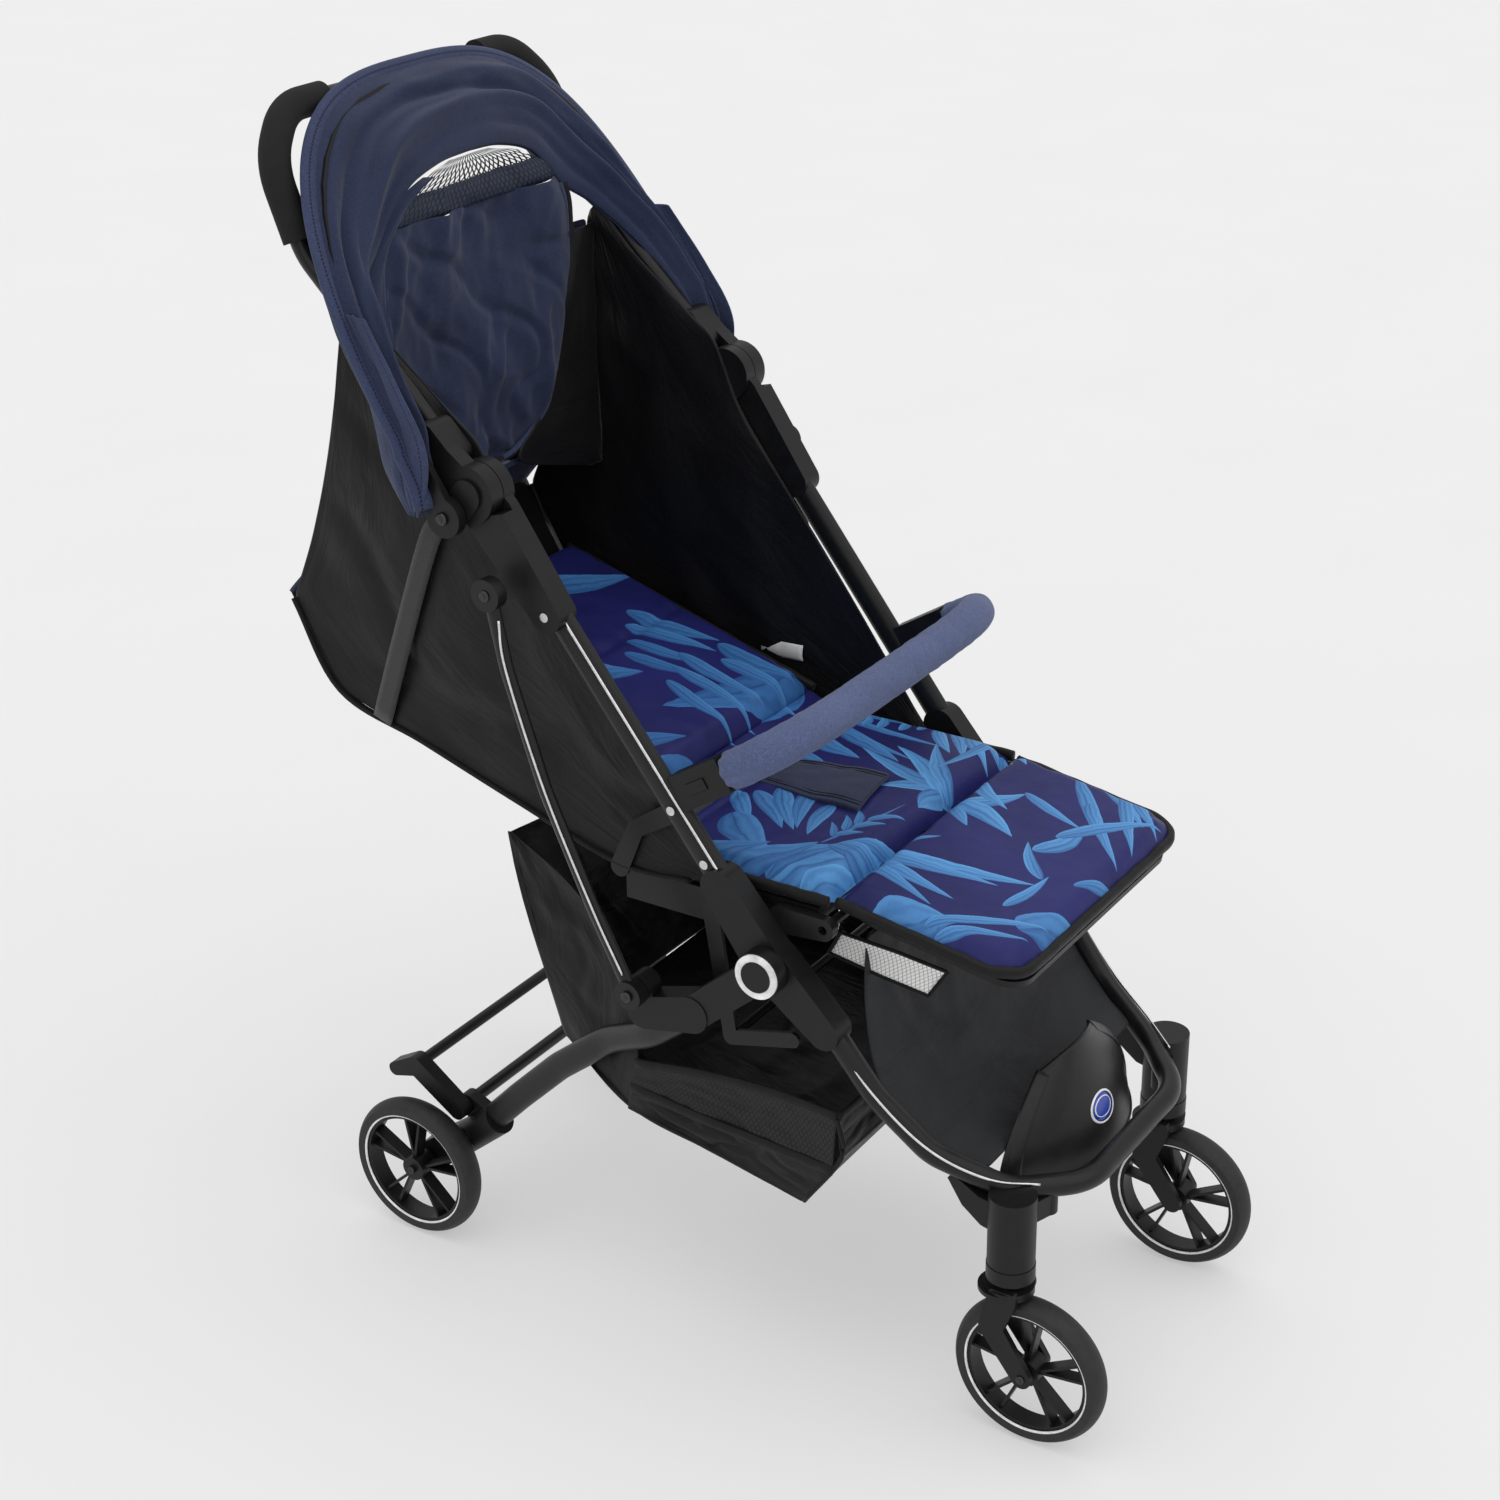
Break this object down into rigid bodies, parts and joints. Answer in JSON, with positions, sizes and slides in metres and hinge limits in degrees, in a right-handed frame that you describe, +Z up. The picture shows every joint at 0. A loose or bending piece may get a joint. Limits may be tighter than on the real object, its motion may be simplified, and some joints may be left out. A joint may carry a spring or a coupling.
{
  "type": "baby stroller",
  "caption": "Compact folding stroller with swivel front casters, linked rear brake, reclining padded seat, bumper bar, storage basket and folding canopy.",
  "frame": {"origin": "on the floor, under the middle of the bounding box", "axes": "+Z up, the child faces -Y, +X to the left of the person pushing"},
  "size_m": [0.472, 0.8127, 1.0747],
  "materials": {
    "frame_paint": "satin",
    "moulded_plastic": "satin",
    "steel": "satin",
    "ring": "gloss",
    "tyre": "matt",
    "foam": "matt",
    "board": "matt",
    "navy_cloth": "matt",
    "black_cloth": "matt",
    "print_cloth": "satin"
  },
  "bodies": {
    "rear_legs": {"rear_legs": "frame_paint", "leg_covers": "moulded_plastic", "strut_clamps": "moulded_plastic", "pivot_rings": "ring", "rear_hubs": "moulded_plastic", "rear_cross_tube": "frame_paint"},
    "brake": {"brake_levers": "moulded_plastic"},
    "rear_wheel_right": {"rim_rear_right": "moulded_plastic", "tyre_rear_right": "tyre"},
    "rear_wheel_left": {"rim_rear_left": "moulded_plastic", "tyre_rear_left": "tyre"},
    "struts": {"struts": "frame_paint"},
    "side_frame": {"side_tubes": "frame_paint", "front_u_tube": "frame_paint", "caster_bracket_right": "moulded_plastic", "caster_bracket_left": "moulded_plastic", "mid_joints": "moulded_plastic", "knuckle_brackets": "moulded_plastic", "seat_pan": "board", "seat_rails": "frame_paint", "seat_arms": "frame_paint", "seat_cross_tubes": "frame_paint", "fold_links": "frame_paint", "seat_cushion": "print_cloth", "side_panels": "black_cloth", "calf_panel": "black_cloth", "foot_cover": "moulded_plastic", "basket": "black_cloth", "crotch_pad": "navy_cloth", "waist_straps": "black_cloth", "buckle": "moulded_plastic", "bumper_mounts": "moulded_plastic", "frame_rivets": "steel"},
    "caster_right": {"caster_stem_right": "moulded_plastic", "caster_spring_right": "steel"},
    "caster_left": {"caster_stem_left": "moulded_plastic", "caster_spring_left": "steel"},
    "fork_right": {"fork_right": "moulded_plastic"},
    "fork_left": {"fork_left": "moulded_plastic"},
    "front_wheel_right": {"rim_front_right": "moulded_plastic", "tyre_front_right": "tyre"},
    "front_wheel_left": {"rim_front_left": "moulded_plastic", "tyre_front_left": "tyre"},
    "handle": {"handle_tube": "frame_paint", "handle_knuckles": "moulded_plastic", "handle_grips": "foam", "release_housing": "moulded_plastic", "canopy_fabric": "navy_cloth", "back_curtain": "navy_cloth"},
    "release_button": {"release_button": "moulded_plastic"},
    "canopy_bow": {"canopy_bow": "moulded_plastic"},
    "backrest": {"backrest_board": "board", "backrest_cushion": "print_cloth"},
    "leg_rest": {"leg_rest_board": "board", "leg_rest_cushion": "print_cloth"},
    "bumper": {"bumper_bar": "frame_paint", "bumper_sleeve": "navy_cloth"},
    "bumper_button_right": {"bumper_button_right": "moulded_plastic"},
    "bumper_button_left": {"bumper_button_left": "moulded_plastic"},
    "buckle_button": {"buckle_button": "moulded_plastic"}
  },
  "joints": [
    {"name": "frame_fold", "type": "hinge", "parent": "rear_legs", "child": "side_frame", "pos_m": [0, -0.105, 0.4125], "axis": [1, 0, 0], "range_deg": [0, 60], "deforming": ["basket"]},
    {"name": "strut_fold", "type": "hinge", "parent": "rear_legs", "child": "struts", "pos_m": [0, 0.0117, 0.3687], "axis": [1, 0, 0], "range_deg": [0, 56.3]},
    {"name": "handle_fold", "type": "hinge", "parent": "side_frame", "child": "handle", "pos_m": [0, 0.173, 0.7765], "axis": [1, 0, 0], "range_deg": [0, 130]},
    {"name": "canopy_swing", "type": "hinge", "parent": "handle", "child": "canopy_bow", "pos_m": [0, 0.189, 0.758], "axis": [-1, 0, 0], "range_deg": [-95, 0], "deforming": ["canopy_fabric"]},
    {"name": "recline", "type": "hinge", "parent": "side_frame", "child": "backrest", "pos_m": [0, 0.054, 0.462], "axis": [1, 0, 0], "range_deg": [0, 45], "deforming": ["back_curtain"]},
    {"name": "leg_rest_tilt", "type": "hinge", "parent": "side_frame", "child": "leg_rest", "pos_m": [0, -0.146, 0.45], "axis": [1, 0, 0], "range_deg": [0, 30]},
    {"name": "bumper_release", "type": "slide", "parent": "side_frame", "child": "bumper", "axis": [0, -0.848, 0.5299], "range_m": [0, 0.05]},
    {"name": "bumper_press_right", "type": "slide", "parent": "side_frame", "child": "bumper_button_right", "axis": [1, 0, 0], "range_m": [0, 0.0015], "stiffness_N_per_m": 300, "springref_m": -0.002},
    {"name": "bumper_press_left", "type": "slide", "parent": "side_frame", "child": "bumper_button_left", "axis": [-1, 0, 0], "range_m": [0, 0.0015], "stiffness_N_per_m": 300, "springref_m": -0.002},
    {"name": "brake_press", "type": "hinge", "parent": "rear_legs", "child": "brake", "pos_m": [0, 0.266, 0.132], "axis": [1, 0, 0], "range_deg": [-18, 0]},
    {"name": "rear_spin_right", "type": "hinge", "parent": "rear_legs", "child": "rear_wheel_right", "pos_m": [-0.1815, 0.302, 0.07], "axis": [1, 0, 0], "continuous": true},
    {"name": "swivel_right", "type": "hinge", "parent": "side_frame", "child": "caster_right", "pos_m": [-0.151, -0.314, 0.2], "axis": [0, 0, 1], "continuous": true},
    {"name": "suspension_right", "type": "slide", "parent": "caster_right", "child": "fork_right", "axis": [0, 0, 1], "range_m": [0, 0.005], "stiffness_N_per_m": 8000, "springref_m": -0.004, "deforming": ["caster_spring_right"]},
    {"name": "front_spin_right", "type": "hinge", "parent": "fork_right", "child": "front_wheel_right", "pos_m": [-0.151, -0.336, 0.07], "axis": [1, 0, 0], "continuous": true},
    {"name": "rear_spin_left", "type": "hinge", "parent": "rear_legs", "child": "rear_wheel_left", "pos_m": [0.1815, 0.302, 0.07], "axis": [1, 0, 0], "continuous": true},
    {"name": "swivel_left", "type": "hinge", "parent": "side_frame", "child": "caster_left", "pos_m": [0.151, -0.314, 0.2], "axis": [0, 0, 1], "continuous": true},
    {"name": "suspension_left", "type": "slide", "parent": "caster_left", "child": "fork_left", "axis": [0, 0, 1], "range_m": [0, 0.005], "stiffness_N_per_m": 8000, "springref_m": -0.004, "deforming": ["caster_spring_left"]},
    {"name": "front_spin_left", "type": "hinge", "parent": "fork_left", "child": "front_wheel_left", "pos_m": [0.151, -0.336, 0.07], "axis": [1, 0, 0], "continuous": true},
    {"name": "release_press", "type": "slide", "parent": "handle", "child": "release_button", "axis": [0, -0.3584, -0.9336], "range_m": [0, 0.0018], "stiffness_N_per_m": 300, "springref_m": -0.002},
    {"name": "buckle_press", "type": "slide", "parent": "side_frame", "child": "buckle_button", "axis": [0, 0, -1], "range_m": [0, 0.002], "stiffness_N_per_m": 300, "springref_m": -0.002}
  ],
  "couplings": [
    {"joint": "strut_fold", "follows": "frame_fold", "ratio": 0.93833},
    {"joint": "handle_fold", "follows": "frame_fold", "ratio": 2.1666}
  ]
}
